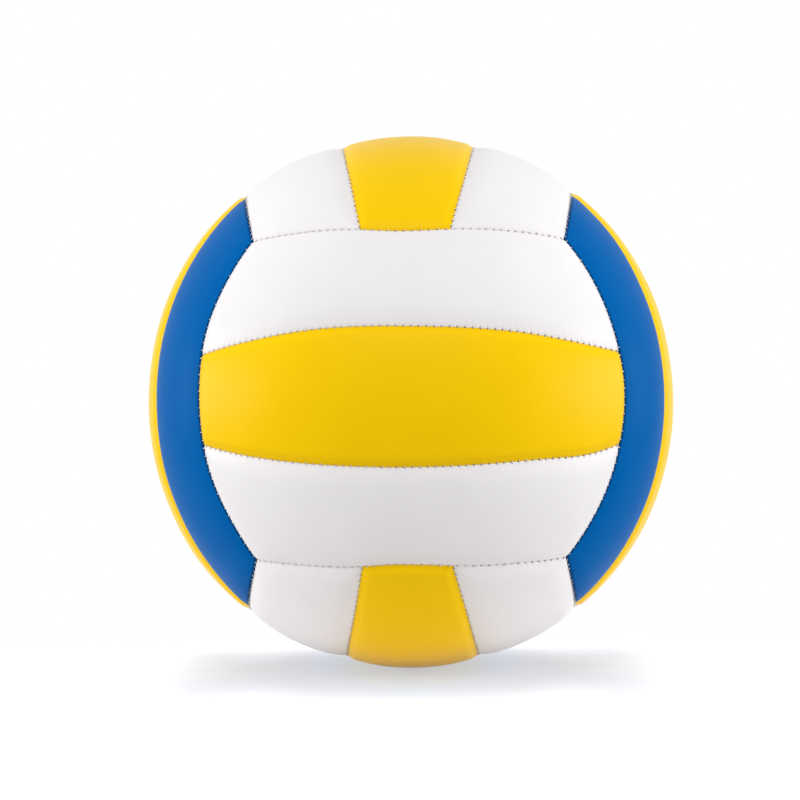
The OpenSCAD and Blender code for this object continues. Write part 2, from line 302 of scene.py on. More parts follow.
class Seams:
    """The seams of one face, in its own frame: x along the strips, y across them and z out.

    The seam across the ends of a face's strips is a circle through two corners of a cube, and the
    seam between two strips is a circle that ends on it.
    """

    def __init__(self, ball):
        corner = 1 / math.sqrt(3)
        reach = ball.face_reach
        self.radius = ball.radius
        self.end_tilt = math.atan((math.cos(reach) - corner) / (math.sin(reach) - corner))
        self.end_half = reach + self.end_tilt
        self.corner_turn = math.asin(corner / math.sin(self.end_half))
        self.join_turn = math.asin(math.sin(ball.strip_end) / math.sin(self.end_half))
        along, across, out = self.end_seam(self.join_turn)
        middle = ball.strip_middle
        self.strip_tilt = math.atan((math.sin(middle) - across) / (math.cos(middle) - out))
        self.strip_half = math.pi / 2 - middle + self.strip_tilt
        self.strip_turn = math.asin(along / math.sin(self.strip_half))

    def outer_seam(self, turn):
        """The face's own edge, along its outer strip."""
        return arc(self.end_tilt, self.end_half, turn)

    def strip_seam(self, turn):
        """The seam between the middle strip and the one at +Y."""
        return arc(self.strip_tilt, self.strip_half, turn)

    def end_seam(self, turn):
        """The seam across the strips' ends at +X: the outer seam of the face beside it."""
        return self.outer_seam(turn)[..., [2, 0, 1]]

    def low_edge(self, middle, u):
        """The panel's edge at the lower y, at share u along it."""
        edge = self.strip_seam(mix(-self.strip_turn, self.strip_turn, u))
        return edge * [1, -1, 1] if middle else edge

    def high_edge(self, middle, u):
        """The panel's edge at the higher y."""
        if middle:
            return self.strip_seam(mix(-self.strip_turn, self.strip_turn, u))
        return self.outer_seam(mix(-self.corner_turn, self.corner_turn, u))

    def far_edge(self, middle, v):
        """The panel's end at +X, at share v across it."""
        start = -self.join_turn if middle else self.join_turn
        end = self.join_turn if middle else self.corner_turn
        return self.end_seam(mix(start, end, v))

    def near_edge(self, middle, v):
        """The panel's end at -X."""
        return self.far_edge(middle, v) * [-1, 1, 1]

    def direction(self, middle, u, v):
        """A direction inside the panel, blended from its four edges."""
        sides = scaled(self.low_edge(middle, u), 1 - v) + scaled(self.high_edge(middle, u), v)
        ends = scaled(self.near_edge(middle, v), 1 - u) + scaled(self.far_edge(middle, v), u)
        corners = np.zeros(3)
        for end, edge in ((1 - u, self.near_edge), (u, self.far_edge)):
            for side, share in ((1 - v, 0.0), (v, 1.0)):
                corners = corners + scaled(np.broadcast_to(edge(middle, share), u.shape + (3,)), end * side)
        return unit(sides + ends - corners)

    def spread(self, a, b):
        """The distance over the ball between two directions."""
        return np.arccos(np.clip((a * b).sum(-1), -1, 1)) * self.radius

    def length_at(self, middle, v):
        """The panel's length at share v across it."""
        return self.spread(self.near_edge(middle, v), self.far_edge(middle, v))

    def width_at(self, middle, u):
        """The panel's width at share u along it."""
        return self.spread(self.low_edge(middle, u), self.high_edge(middle, u))

    def shares(self, middle, a, b, inset):
        """Shares u and v of the whole panel, from shares a and b of what lies inside an inset."""
        end = inset / self.length_at(middle, b)
        u = mix(end, 1 - end, a)
        side = inset / self.width_at(middle, u)
        return u, mix(side, 1 - side, b)


# Where the sewing has drawn the ball's skin aside: the place as a direction, how far it went in
# millimetres, and how far round the place it reaches, also in millimetres
DRIFTS = (
    ((-0.8, -0.6, 0.0), (1.2, -1.6, 0.0), 24),
    ((-0.7, -0.53, 0.48), (1.4, -1.6, 0.25), 22),
    ((-0.71, -0.56, -0.43), (1.7, -2.3, 0.2), 24),
    ((0.81, -0.58, 0.0), (1.1, 1.5, 0.0), 26),
    ((0.0, -0.76, 0.65), (-1.3, -1.6, -1.9), 20),
    ((0.0, -0.78, -0.63), (-1.8, -1.5, 1.9), 20),
    ((0.66, -0.72, -0.2), (-0.25, 0.25, -1.8), 20),
    ((-0.3, -0.9, 0.3), (0.0, 0.3, 0.9), 26),
    ((0.62, -0.75, 0.22), (0.1, -0.1, -0.7), 20),
    ((-0.58, -0.58, -0.58), (0.35, 0.35, -0.7), 18),
    ((0.58, -0.58, -0.58), (-0.35, 0.35, -0.7), 18),
    ((0.0, -0.1, -1.0), (0.0, 0.0, -0.7), 35),
)


# The padding's lumps are three crossing waves: each one's direction and length, and its phase
LUMP_WAVES = (((1, 0.7, 0), 0), ((0, 0.8, -0.6), 2), ((-0.9, 0, 0.5), 4))


def settled(points, ball):
    """Points moved as the blown-up ball moves them. It is a little squarer than a true ball, because
    the six faces hold each other in, and a little taller. The padding leaves gentle lumps, and some
    seams have drifted.
    """
    directions = unit(points)
    face = (directions**4).sum(-1)
    turns = points * (2 * math.pi / ball.lump_width)
    lumps = sum(np.sin(turns @ np.array(wave) + phase) for wave, phase in LUMP_WAVES)
    drift = np.zeros(points.shape)
    for place, shift, reach in DRIFTS:
        away = np.linalg.norm(directions - unit(np.array(place)), axis=-1) * ball.radius / MM
        drift += scaled(np.array(shift) * MM, np.exp(-((away / reach) ** 2)))
    taller = points * (1, 1, 1 + ball.taller)
    return scaled(taller, 1 + ball.square * (1 - face)) + scaled(directions, lumps * ball.lump / 2) + drift


def place_matrix(turns, side):
    """The matrix that puts a panel's own frame on its face. The strip at -Y mirrors the one at +Y."""
    turn = Euler([math.radians(t) for t in turns], "XYZ").to_matrix()
    return np.array(turn @ Matrix.Diagonal((1, -1 if side < 0 else 1, 1)))


def panel_list():
    """Each panel: its face, its side, its name and the matrix that places it."""
    return [
        (face, side, f"{face}_{strips[side + 1]}", place_matrix(turns, side))
        for face, turns, strips in FACES
        for side in SIDES
    ]


# Pieces


def piece(name, mesh, material, slot, replaced):
    """Makes a finished mesh a piece that rides on the ball and stands for its CAD nodes."""
    mesh.name = name
    mesh.materials.clear()
    mesh.materials.append(material)
    mesh.polygons.foreach_set("use_smooth", np.ones(len(mesh.polygons), bool))
    made = bpy.data.objects.new(name, mesh)
    bpy.context.scene.collection.objects.link(made)
    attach(made, BODY)
    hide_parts(*replaced)
    return made


def new_mesh(bm, name):
    """A new mesh from a bmesh, which is freed."""
    mesh = bpy.data.meshes.new(name)
    bm.to_mesh(mesh)
    bm.free()
    return mesh


def coordinates(mesh):
    """A mesh's points as an array."""
    found = np.empty(len(mesh.vertices) * 3, np.float32)
    mesh.vertices.foreach_get("co", found)
    return found.reshape(-1, 3).astype(float)


def settle(mesh, points, ball):
    """Puts a mesh's points at places on the blown-up ball."""
    mesh.vertices.foreach_set("co", settled(points, ball).astype(np.float32).ravel())
    mesh.update()
    return mesh


def surface_area(mesh):
    """The area of all of a mesh's faces."""
    found = np.empty(len(mesh.polygons), np.float32)
    mesh.polygons.foreach_get("area", found)
    return float(found.sum())


def extruded(bm, rim):
    """Extrudes a rim of edges: returns the new rim and its points."""
    made = bmesh.ops.extrude_edge_only(bm, edges=rim)["geom"]
    rim = [g for g in made if isinstance(g, bmesh.types.BMEdge) and g.is_boundary]
    return rim, {v for e in rim for v in e.verts}


def pattern(cells_along, cells_across, cuts, rows, hole=None):
    """A closed tray in pattern space, from which panels are shaped.

    x and y are shares along and across what lies inside the hem. z is the row: 0 on the crown, then
    one for each step of the hem, and the last one on the inside, where the sheet closes again.
    """
    bm = bmesh.new()
    bmesh.ops.create_grid(bm, x_segments=cells_along, y_segments=cells_across, size=0.5)
    bmesh.ops.translate(bm, verts=bm.verts, vec=(0.5, 0.5, 0))
    if cuts:
        bmesh.ops.subdivide_edges(bm, edges=[e for e in bm.edges if e.is_boundary], cuts=cuts)
    closing = bmesh.ops.duplicate(bm, geom=bm.verts[:] + bm.edges[:] + bm.faces[:])["geom"]
    closing_verts = [g for g in closing if isinstance(g, bmesh.types.BMVert)]
    bmesh.ops.translate(bm, verts=closing_verts, vec=(0, 0, rows))
    rim = [e for e in bm.edges if e.is_boundary and e.verts[0].co.z < 0.5]
    for _ in range(rows):
        rim, verts = extruded(bm, rim)
        bmesh.ops.translate(bm, verts=list(verts), vec=(0, 0, 1))
    # The gaps between points are far wider than this, in shares as in rows
    bmesh.ops.remove_doubles(bm, verts=bm.verts, dist=1e-4)
    if hole:
        cut_hole(bm, *hole)
    bmesh.ops.recalc_face_normals(bm, faces=bm.faces)
    return new_mesh(bm, "pattern")


# Rows of the wall of the valve's hole: each one's share of the hole's outer radius, and how far it
# lies below the crown
HOLE_SHARES = (0.95, 0.9, 0.887)
HOLE_DROPS = (0.07 * MM, 0.27 * MM, 0.62 * MM)
# How many of the hole's radii the finer cells round it reach
FINE_REACH = 1.6


def cut_hole(bm, radius_along, radius_across):
    """Cuts a round hole in the middle of a pattern, and joins its two sheets with a rolled wall."""
    middle = Vector((0.5, 0.5, 0))

    def reach(point):
        away = point - middle
        return math.hypot(away.x / radius_along, away.y / radius_across)

    def set_reach(vert, share):
        away = (vert.co - middle) * (share / reach(vert.co))
        vert.co.x, vert.co.y = middle.x + away.x, middle.y + away.y

    # Smaller cells round the hole make it round. The hem's rows stay as they are, since a point
    # between two rows would count as one of the hole's own
    flat = [f for f in bm.faces if len({round(v.co.z) for v in f.verts}) == 1]
    near = [f for f in flat if reach(f.calc_center_median()) < FINE_REACH]
    edges = list({e for f in near for e in f.edges})
    bmesh.ops.subdivide_edges(bm, edges=edges, cuts=2, use_grid_fill=True)
    inside = [f for f in bm.faces if reach(f.calc_center_median()) < 1]
    bmesh.ops.delete(bm, geom=inside, context="FACES")
    rims = [e for e in bm.edges if e.is_boundary]
    for vert in {v for e in rims for v in e.verts}:
        set_reach(vert, 1)
    rim = [e for e in rims if e.verts[0].co.z < 0.5]
    closing = [e for e in rims if e not in rim]
    for i, share in enumerate(HOLE_SHARES):
        rim, verts = extruded(bm, rim)
        for vert in verts:
            set_reach(vert, share)
            vert.co.z = (i + 1) / (len(HOLE_SHARES) + 1)
    bmesh.ops.bridge_loops(bm, edges=rim + closing)


# Where the shoulder's rows lie, as shares from the fold to the crown
SHOULDER_SHARES = (0.9, 0.78, 0.64, 0.5, 0.36, 0.23, 0.11, 0.0)
# How the shoulder falls: 1 is a plain slope, and more rounds its upper end
MIDDLE_POWER = 1.0
OUTER_POWER = 1.9
# The turns of the fold's rows, in degrees
ROLL_TURNS = (25, 50, 72, 90)
# How far a needle hole still opens the shoulder's foot, as a share of how far it opens the fold
HOLE_ON_SHOULDER = 0.35
# Steps down the flange as shares from the fold to its foot, and how far each still opens at a hole
FLANGE_STEPS = ((0.14, 0.9), (0.34, 0.3), (1.0, 0.0))
# A step of the skin's inside under the shoulder: its shares of the shoulder's width and of its drop
INSIDE_WIDTH, INSIDE_DROP = 0.3, 0.6


def hem_rows(hem, stitch, width, power):
    """The hem's steps from the crown to the inside: inset, drop, share of a hole, share of a pucker."""
    fold = hem.half_gap + hem.roll
    rows = [(width, 0.0, 0.0, 0.0)]
    for share in SHOULDER_SHARES:
        inset = mix(fold, width, share)
        pucker = math.exp(-(inset - fold) / stitch.pucker_reach)
        hole = HOLE_ON_SHOULDER * math.exp(-(((inset - fold) / stitch.hole) ** 2))
        rows.append((inset, hem.drop * (1 - share) ** power, hole, pucker))
    for degrees in ROLL_TURNS:
        turn = math.radians(degrees)
        inset = hem.half_gap + hem.roll * (1 - math.sin(turn))
        hole = mix(HOLE_ON_SHOULDER, 1, math.sin(turn))
        rows.append((inset, hem.drop + hem.roll * (1 - math.cos(turn)), hole, 1.0))
    foot = hem.drop + hem.roll
    for share, hole in FLANGE_STEPS:
        rows.append((hem.half_gap, mix(foot, hem.flange, share), hole, 0.0))
    inner = hem.half_gap + hem.skin
    rows.append((inner, hem.flange, 0.0, 0.0))
    rows.append((inner, foot + hem.skin, 0.0, 0.0))
    rows.append((mix(inner, width, INSIDE_WIDTH), hem.drop * INSIDE_DROP + hem.skin, 0.0, 0.0))
    rows.append((width, hem.skin, 0.0, 0.0))
    return np.array(rows)


def edge_stitches(seams, stitch):
    """Where the corners and joins lie along a face's own edge, and how many stitches come before each."""
    turns = [-seams.corner_turn, -seams.join_turn, seams.join_turn, seams.corner_turn]
    return turns, np.cumsum([0, stitch.outer_count, stitch.middle_count, stitch.outer_count])


def stitch_place(seams, stitch, middle, a, b):
    """How many stitches along its seam each point of a rim lies."""
    at_end = (a < TINY) | (a > 1 - TINY)
    end_count = stitch.middle_count if middle else stitch.outer_count
    along = stitch.strip_count * a
    if not middle:
        turns = mix(-seams.corner_turn, seams.corner_turn, a)
        along = np.where(b > 0.5, np.interp(turns, *edge_stitches(seams, stitch)), along)
    return np.where(at_end, end_count * b, along)


def set_attribute(mesh, name, values):
    """Keeps a value at each point of a mesh for its material."""
    made = mesh.attributes.new(name, "FLOAT", "POINT")
    made.data.foreach_set("value", np.asarray(values, np.float32))


# A UV map has ten centimetres to a unit
UV_UNIT = 0.1


def set_uv(mesh, flat):
    """Gives a mesh a UV map from flat places in metres."""
    corner_verts = np.empty(len(mesh.loops), np.int32)
    mesh.loops.foreach_get("vertex_index", corner_verts)
    layer = mesh.uv_layers.new(name="cut")
    layer.data.foreach_set("uv", (flat[corner_verts] / UV_UNIT).astype(np.float32).ravel())


# Half way between two stitches a pucker stands up by this share of its height. The rest is drawn down
PUCKER_UP = 0.6
# Stitches are pulled unevenly: how much, how fast it changes from stitch to stitch, and its start
UNEVEN_PULLS = ((0.35, 0.9, 1), (0.25, 2.3, 3))
# The share of the bulge at which a panel keeps the ball's own radius, and how steeply it swells at its ends
BULGE_REST = 0.45
BULGE_END_POWER = 0.3


def shaped_panel(base, seams, settings, middle, matrix, rows, stitched, seed):
    """A copy of a pattern, shaped to its panel on the ball, with its flat places as a UV map."""
    hem, stitch, ball = settings.hem, settings.stitch, settings.ball
    mesh = base.copy()
    a, b, row = coordinates(mesh).T
    # The wall of the valve's hole has its rows between the crown's and the next one
    in_hole = (row > 0.01) & (row < 0.99)
    index = np.where(in_hole, 0, np.rint(row)).astype(int)
    inset, drop, hole_share, pucker_share = rows[index].T
    hole_row = np.rint(row * (len(HOLE_SHARES) + 1)).astype(int)
    drop = np.where(in_hole, np.array((0.0,) + HOLE_DROPS)[np.where(in_hole, hole_row, 0)], drop)
    from_end = np.minimum(a, 1 - a) * seams.length_at(middle, b)
    from_side = np.minimum(b, 1 - b) * seams.width_at(middle, a)
    from_corner = np.maximum(from_end, from_side)
    seam_distance = inset + np.minimum(from_end, from_side)
    if stitched:
        place = stitch_place(seams, stitch, middle, a, b)
        pitch = 2 * seams.strip_turn * math.sin(seams.strip_half) * seams.radius / stitch.strip_count
        from_stitch = (place - np.floor(place) - 0.5) * pitch
        hole = np.exp(-((from_stitch / stitch.hole) ** 2)) * hole_share
        strength = 1 + sum(much * np.sin(fast * place + start * seed) for much, fast, start in UNEVEN_PULLS)
        pucker = (PUCKER_UP - (1 - np.cos(2 * math.pi * place)) / 2) * strength * pucker_share
        corner = np.clip(1 - from_corner / hem.corner, 0, 1) ** 2
        inset = inset + stitch.hole_pull * hole + hem.corner_pull * corner * hole_share
        drop = drop + stitch.hole_drop * hole - stitch.pucker * pucker * (1 - corner)
        drop = drop + hem.corner_pull * corner * np.maximum(pucker_share, hole_share)
    u, v = seams.shares(middle, a, b, inset)
    # Air presses the strip out between its hems, most in its middle
    swell = np.clip(4 * v * (1 - v), 0, 1) * np.clip(4 * u * (1 - u), 0, 1) ** BULGE_END_POWER
    drop = drop + ball.bulge * (BULGE_REST - swell)
    settle(mesh, scaled(seams.direction(middle, u, v), seams.radius - drop) @ matrix.T, ball)
    if np.linalg.det(matrix) > 0:
        mesh.flip_normals()
    flat = ((u - 0.5) * seams.length_at(middle, v), (v - 0.5) * seams.width_at(middle, u))
    set_uv(mesh, np.stack(flat, axis=1))
    set_attribute(mesh, "seam_mm", seam_distance / MM)
    set_attribute(mesh, "corner_mm", from_corner / MM)
    mesh.update()
    return mesh


def lathe(profile, steps):
    """A closed solid turned round the valve's axis from a profile of (radius, place along +Y)."""
    bm = bmesh.new()
    verts = [bm.verts.new((radius, along, 0)) for radius, along in profile]
    edges = [bm.edges.new(pair) for pair in zip(verts, verts[1:] + verts[:1])]
    if profile[0][0] < TINY and profile[-1][0] < TINY:
        bm.edges.remove(edges.pop())
    whole = {"axis": (0, 1, 0), "angle": 2 * math.pi, "steps": steps, "use_merge": True}
    bmesh.ops.spin(bm, geom=verts + edges, cent=(0, 0, 0), **whole)
    bmesh.ops.remove_doubles(bm, verts=bm.verts, dist=TINY)
    # An edge that lies on the axis sweeps no face
    bmesh.ops.delete(bm, geom=[e for e in bm.edges if e.is_wire], context="EDGES")
    bmesh.ops.recalc_face_normals(bm, faces=bm.faces)
    return new_mesh(bm, "turned")


def rounded(corners, radius, steps=4):
    """A profile whose corners are rounded by a quarter or so of a circle, as a moulded edge is."""
    made = []
    for i, corner in enumerate(corners):
        here = Vector(corner)
        before, after = Vector(corners[i - 1]), Vector(corners[(i + 1) % len(corners)])
        # A rounding takes two fifths of an edge at most
        reach = min(radius, (before - here).length / 2.5, (after - here).length / 2.5)
        if here.x < TINY or reach < TINY:
            made.append(tuple(here))
            continue
        start = here + (before - here).normalized() * reach
        end = here + (after - here).normalized() * reach
        for step in range(steps + 1):
            t = step / steps
            made.append(tuple(start * (1 - t) ** 2 + here * (2 * t * (1 - t)) + end * t**2))
    return made


# Materials


def add_node(tree, kind, inputs=(), **settings):
    """Adds a shader node. Its inputs come in their own order, or in a dictionary by name or number.

    Each is a value, or a socket to link, or a node whose first output is linked.
    """
    made = tree.nodes.new("ShaderNode" + kind)
    for name, value in settings.items():
        setattr(made, name, value)
    for key, value in inputs.items() if isinstance(inputs, dict) else enumerate(inputs):
        if isinstance(value, bpy.types.Node):
            value = value.outputs[0]
        if isinstance(value, bpy.types.NodeSocket):
            tree.links.new(value, made.inputs[key])
        else:
            made.inputs[key].default_value = value
    return made


def new_material(name, coordinate="Object"):
    """An empty material: returns it, its tree, its surface and its texture coordinate."""
    material = bpy.data.materials.new(name)
    material.use_nodes = True
    tree = material.node_tree
    tree.nodes.clear()
    surface = add_node(tree, "BsdfPrincipled")
    add_node(tree, "OutputMaterial", {"Surface": surface})
    return material, tree, surface, add_node(tree, "TexCoord").outputs[coordinate]


def marked(tree, surface, rgb, marks, tones, height, strength, depth):
    """Gives a surface marks in darker and paler tones of its colour, and a relief.

    A tone is the value of the marks at which it is reached, and the factor of the colour there.
    """
    tint = add_node(tree, "ValToRGB", [marks])
    for stop, (value, factor) in zip(tint.color_ramp.elements, tones):
        stop.color = (*[min(1.0, c * factor) for c in rgb], 1.0)
        stop.position = value
    bump = add_node(tree, "Bump", {"Height": height, "Strength": strength, "Distance": depth})
    tree.links.new(tint.outputs[0], surface.inputs["Base Color"])
    tree.links.new(bump.outputs[0], surface.inputs["Normal"])


def synthetic_leather(name, rgb, gloss, edge):
    """PVC synthetic leather, calendered and embossed: satin, with a fine pebble grain and a soft film.

    The grain's real cells are about half a millimetre, and they are drawn at 0.9 so that they show.
    Shade is painted round the fold of a hem, where the colour is darkened by the factor called edge.
    """
    material, tree, surface, place = new_material(name)
    seam, along = (
        add_node(tree, "Attribute", attribute_name=kept).outputs["Fac"] for kept in ("seam_mm", "corner_mm")
    )
    pebbles = {"Vector": place, "Scale": 1 / (0.9 * MM)}
    grain = add_node(tree, "TexVoronoi", pebbles, feature="SMOOTH_F1").outputs["Distance"]
    uneven = {"Vector": place, "Scale": 1 / (14 * MM), "Detail": 3.0, "Roughness": 0.6}
    clouds = add_node(tree, "TexNoise", uneven).outputs["Fac"]
    # Creases run away from the seams: close together along a seam, drawn out across it, and gone at
    # 5 mm from it
    drawn_out = add_node(tree, "Math", [seam, 0.12], operation="MULTIPLY")
    crease_place = add_node(tree, "CombineXYZ", [along, drawn_out])
    creases = add_node(tree, "TexNoise", {"Vector": crease_place, "Scale": 0.75, "Detail": 2.0})
    near_seam = add_node(tree, "MapRange", [seam, 0.3, 5.0, 1.0, 0.0], interpolation_type="SMOOTHSTEP")
    crease_height = add_node(tree, "Math", [creases.outputs["Fac"], near_seam], operation="MULTIPLY")
    # Painted shade: the colour darkens towards the fold, which lies within 1.7 mm of the seam
    fold = add_node(tree, "MapRange", [seam, 0.5, 1.7, edge, 1.0], interpolation_type="SMOOTHSTEP")
    uneven_tone = add_node(tree, "MapRange", [clouds, 0.0, 1.0, 0.975, 1.02])
    shade = add_node(tree, "Math", [uneven_tone, fold], operation="MULTIPLY")
    tint = add_node(tree, "VectorMath", {0: rgb, "Scale": shade}, operation="SCALE")
    rough = add_node(tree, "MapRange", [clouds, 0.0, 1.0, 0.31, 0.4])
    pebbled = add_node(tree, "Bump", {"Height": grain, "Strength": 0.25, "Distance": 0.02 * MM})
    relief = {"Height": crease_height, "Strength": 0.5, "Distance": 0.2 * MM, "Normal": pebbled}
    creased = add_node(tree, "Bump", relief)
    for made, taken in ((tint, "Base Color"), (rough, "Roughness"), (creased, "Normal")):
        tree.links.new(made.outputs[0], surface.inputs[taken])
    surface.inputs["IOR"].default_value = 1.5
    surface.inputs["Specular IOR Level"].default_value = gloss
    return material


def sewing_thread(name, rgb):
    """Bonded polyester thread, three plies twisted: matt, with a fine slant from the twist."""
    material, tree, surface, place = new_material(name)
    twist = {"Vector": place, "Scale": 1 / (1.2 * MM), "Distortion": 1.5}
    plies = add_node(tree, "TexWave", twist, bands_direction="DIAGONAL").outputs["Fac"]
    marked(tree, surface, rgb, plies, ((0.0, 0.75), (1.0, 1.1)), plies, 0.5, 0.05 * MM)
    surface.inputs["Roughness"].default_value = 0.7
    return material


def closed_cell_foam(name, rgb):
    """EVA foam, split from a block: matt, pitted by the cells that the blade opened."""
    material, tree, surface, place = new_material(name)
    pits = add_node(tree, "TexVoronoi", {"Vector": place, "Scale": 1 / (0.5 * MM)}).outputs["Distance"]
    marked(tree, surface, rgb, pits, ((0.0, 0.8), (0.4, 1.03)), pits, 0.6, 0.1 * MM)
    surface.inputs["Roughness"].default_value = 0.9
    return material


def lining_cloth(name, rgb):
    """Plain woven cotton and polyester, two threads to a millimetre: matt, with crossed threads."""
    material, tree, surface, flat = new_material(name, "UV")
    # A wave's scale of 1 gives twenty bands to a unit of the UV map
    threads = {"Vector": flat, "Scale": 2 * UV_UNIT / MM / 20, "Distortion": 0.3}
    crossed = [
        add_node(tree, "TexWave", threads, bands_direction=direction).outputs["Fac"]
        for direction in ("X", "Y")
    ]
    weave = add_node(tree, "Math", crossed, operation="MAXIMUM")
    marked(tree, surface, rgb, weave, ((0.0, 0.6), (1.0, 1.05)), weave, 0.6, 0.12 * MM)
    surface.inputs["Roughness"].default_value = 0.88
    surface.inputs["Sheen Weight"].default_value = 0.2
    return material


def moulded_rubber(name, rgb, roughness, bloom):
    """Rubber, moulded: dark and matt, with a pale bloom of wax that comes to its surface in places."""
    material, tree, surface, place = new_material(name)
    patches = {"Vector": place, "Scale": 1 / (9 * MM), "Detail": 5.0, "Roughness": 0.65}
    wax = add_node(tree, "TexNoise", patches).outputs["Fac"]
    grain = {"Vector": place, "Scale": 1 / (0.5 * MM), "Detail": 2.0}
    height = add_node(tree, "TexNoise", grain).outputs["Fac"]
    marked(tree, surface, rgb, wax, ((0.35, 1.0), (0.8, bloom)), height, 0.3, 0.04 * MM)
    surface.inputs["Roughness"].default_value = roughness
    return material


# Operators


# How far the uneven pulls of the stitches shift from one panel to the next
SEED_STEP = 1.7
# Crown cells to a stitch in the panel with the valve
VALVE_CELLS = 2


def layer_panels(settings, rows, cells, cuts, clear, stitched):
    """Shapes one layer's eighteen panels: each one's mesh, face, name and whether it is a middle strip.

    The rows are those of the outer strips and those of the middle ones. There are so many crown cells
    and so many cuts in each cell's rim to a stitch. The valve's hole has the radius called clear.
    """
    seams, stitch = Seams(settings.ball), settings.stitch
    last = len(rows[0]) - 1
    # The hole's radius along and across, as shares of what lies between the crown's insets
    insets = 2 * float(rows[1][0][0])
    hole = [
        clear / HOLE_SHARES[-1] / (measure(True, HALF) - insets)
        for measure in (seams.length_at, seams.width_at)
    ]
    outer_base, middle_base, valve_base = (
        pattern(each * stitch.strip_count, each * across, cuts, last, cut)
        for each, across, cut in (
            (cells, stitch.outer_count, None),
            (cells, stitch.middle_count, None),
            (VALVE_CELLS, stitch.middle_count, hole),
        )
    )
    for index, (face, side, name, matrix) in enumerate(panel_list()):
        middle = side == 0
        base = middle_base if middle else outer_base
        if (face, side) == VALVE_PANEL:
            base = valve_base
        seed = SEED_STEP * index
        mesh = shaped_panel(base, seams, settings, middle, matrix, rows[int(middle)], stitched, seed)
        yield mesh, face, name, middle


def declare_sheet(made, ball, middle, scale, margin):
    """Works out a sheet's flat size: its panel's, at a share of the ball's radius and with a margin, and
    its area, but keeps none of them.
    """
    seams = Seams(ball)
    width, along = (
        float(measure(middle, HALF)) * scale + 2 * margin for measure in (seams.width_at, seams.length_at)
    )
    area = min(surface_area(made.data) / 2, width * along)


class SkinOperator(bpy.types.Operator):
    """Shape the eighteen skins, with their hems, needle holes and puckers"""

    bl_idname = "volleyball.skins"
    bl_label = "Sewn skins"

    def execute(self, context):
        settings = context.scene.volleyball
        hem, stitch, valve, finish = settings.hem, settings.stitch, settings.valve, settings.finish
        rows = (
            hem_rows(hem, stitch, hem.outer_width, OUTER_POWER),
            hem_rows(hem, stitch, hem.middle_width, MIDDLE_POWER),
        )
        # The same film looks thinner over a deeper colour, so its gloss is lower there, and the shade
        # painted at its edge is deeper
        leathers = {
            "white": synthetic_leather("white PVC leather", finish.white, gloss=0.15, edge=0.96),
            "yellow": synthetic_leather("yellow PVC leather", finish.yellow, gloss=0.06, edge=0.92),
            "blue": synthetic_leather("blue PVC leather", finish.blue, gloss=0.012, edge=0.38),
        }
        # Two crown cells and eight rim steps to a stitch
        for mesh, face, name, middle in layer_panels(settings, rows, 2, 3, valve.neck + valve.gap, True):
            tone = "yellow" if middle else "blue" if face in BLUE_FACES else "white"
            made = piece(name + "_cover", mesh, leathers[tone], tone + "_skin", [name + "_skin"])
            declare_sheet(made, settings.ball, middle, 1, hem.flange)
        return {"FINISHED"}


# Steps of the foam's skived slope, as shares from its foot to the full thickness, and of that thickness
SKIVE_STEPS = ((0.6, 0.18), (0.2, 0.62))


class PadOperator(bpy.types.Operator):
    """Shape the foam pads under the skins, skived towards the seams"""

    bl_idname = "volleyball.pads"
    bl_label = "Foam pads"

    def execute(self, context):
        settings = context.scene.volleyball
        layer, valve, radius = settings.layer, settings.valve, settings.ball.radius
        top = radius - FOAM_RADIUS
        bottom = radius - LINING_RADIUS - layer.fit
        rows = []
        for width in (settings.hem.outer_width, settings.hem.middle_width):
            full = width - layer.skive
            slope = [(mix(layer.edge, full, out), mix(top, bottom, down)) for out, down in SKIVE_STEPS]
            foot = [(layer.edge, bottom - layer.chamfer / 2), (layer.edge + layer.chamfer, bottom)]
            rows.append([(*step, 0, 0) for step in ((full, top), *slope, *foot, (full, bottom))])
        foam = closed_cell_foam("EVA foam", settings.finish.foam)
        clear = valve.neck + valve.foam_gap
        for mesh, _face, name, _middle in layer_panels(settings, np.array(rows), 1, 0, clear, False):
            piece(name + "_pad", mesh, foam, "foam", [name + "_foam"])
        return {"FINISHED"}


class LiningOperator(bpy.types.Operator):
    """Shape the cloth linings under the foam pads"""

    bl_idname = "volleyball.linings"
    bl_label = "Cloth linings"

    def execute(self, context):
        settings = context.scene.volleyball
        layer, ball = settings.layer, settings.ball
        top = ball.radius - LINING_RADIUS
        # A lining's rim is bent over its middle
        inner = layer.edge + layer.lining_rim
        rim = ((inner, top), (layer.edge, top + layer.lining / 2), (inner, top + layer.lining))
        rows = [(*step, 0, 0) for step in rim]
        cloth = lining_cloth("woven lining", settings.finish.lining)
        clear = PATCH_RADIUS + settings.valve.gap
        for mesh, _face, name, middle in layer_panels(settings, np.array([rows, rows]), 1, 0, clear, False):
            made = piece(name + "_cloth", mesh, cloth, "lining", [name + "_lining"])
            declare_sheet(made, ball, middle, LINING_RADIUS / ball.radius, -layer.edge)
        return {"FINISHED"}


# One stitch's places, as shares: along the seam of the slant, across it of the reach, and down from
# the crossing's depth to the run's depth
STITCH_SHARES = (
    (-0.35, -1.0, 1.0),
    (-0.5, -0.7, 0.32),
    (-0.35, -0.38, 0.08),
    (0.0, 0.0, 0.0),
    (0.35, 0.38, 0.08),
    (0.5, 0.7, 0.32),
    (0.35, 1.0, 1.0),
)


# How the stitches' tension goes on from one to the next, and where on the ball it starts
TENSION_STEP = 1.9
TENSION_START = (40, 0, 25)


def stitched_seam(points, aways, stitch, radius):
    """The thread's path through the needle holes of one seam: over it, in and along to the next hole."""
    path = []
    for k, (point, away) in enumerate(zip(points, aways)):
        side = 1 if k % 2 else -1
        along = np.cross(away, point)
        tight = stitch.tension * math.sin(TENSION_STEP * k + np.dot(point, TENSION_START))
        for slant, across, down in STITCH_SHARES:
            depth = mix(stitch.depth + tight, stitch.run_depth, down)
            place = point * (radius - depth) + away * (side * across * stitch.reach)
            path.append(place + along * (slant * stitch.slant - stitch.aside))
    return path


